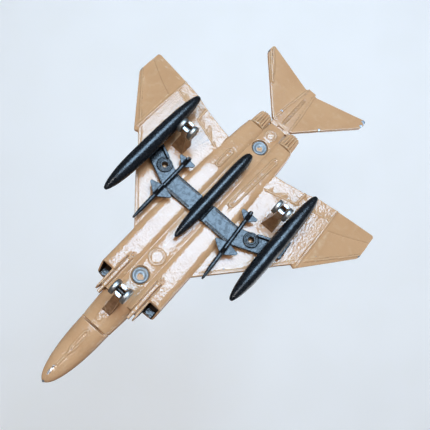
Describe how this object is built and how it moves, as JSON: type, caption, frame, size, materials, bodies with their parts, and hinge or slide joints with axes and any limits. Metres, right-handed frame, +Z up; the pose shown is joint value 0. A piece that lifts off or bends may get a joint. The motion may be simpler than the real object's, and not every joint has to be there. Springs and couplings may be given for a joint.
{
  "type": "toy airplane",
  "caption": "Pocket die-cast toy jet fighter with swept wings, under-wing tanks and missiles, and rolling twin wheels on three legs.",
  "frame": {"origin": "middle of the bounding box on the surface that the wheels stand on", "axes": "+Z up, nose towards -Y, the toy's left wing towards +X"},
  "size_m": [0.081, 0.1104, 0.0309],
  "materials": {
    "paint": "gloss sand-tan enamel on cast zinc, chipped to bare metal on the corners",
    "rivet_metal": "dull spun zinc-plated head with old paint in its centre",
    "wheel_metal": "plain bright turned metal",
    "black_plastic": "gloss black moulded plastic",
    "dark_plastic": "matt dark grey moulded plastic",
    "canopy_clear": "smoke-tinted clear plastic"
  },
  "bodies": {
    "airframe": {"upper_casting": "paint", "lower_casting": "paint", "tailplane": "paint", "left_nozzle": "paint", "right_nozzle": "paint", "cockpit_tub": "dark_plastic", "canopy": "canopy_clear", "front_rivet": "rivet_metal", "rear_rivet": "rivet_metal", "stores_bar": "black_plastic", "centre_tank": "black_plastic", "left_tank": "black_plastic", "right_tank": "black_plastic", "left_missile": "black_plastic", "right_missile": "black_plastic", "nose_gear_leg": "paint", "left_gear_leg": "paint", "right_gear_leg": "paint"},
    "nose_wheels": {"nose_axle": "wheel_metal", "nose_gear_left_wheel": "wheel_metal", "nose_gear_right_wheel": "wheel_metal"},
    "left_wheels": {"left_axle": "wheel_metal", "left_gear_left_wheel": "wheel_metal", "left_gear_right_wheel": "wheel_metal"},
    "right_wheels": {"right_axle": "wheel_metal", "right_gear_left_wheel": "wheel_metal", "right_gear_right_wheel": "wheel_metal"}
  },
  "joints": [
    {"name": "nose_wheels_roll", "type": "hinge", "parent": "airframe", "child": "nose_wheels", "pos_m": [0, -0.0289, 0.002], "axis": [1, 0, 0], "continuous": true},
    {"name": "left_wheels_roll", "type": "hinge", "parent": "airframe", "child": "left_wheels", "pos_m": [0.0159, 0.0124, 0.002], "axis": [1, 0, 0], "continuous": true},
    {"name": "right_wheels_roll", "type": "hinge", "parent": "airframe", "child": "right_wheels", "pos_m": [-0.0159, 0.0124, 0.002], "axis": [1, 0, 0], "continuous": true}
  ]
}
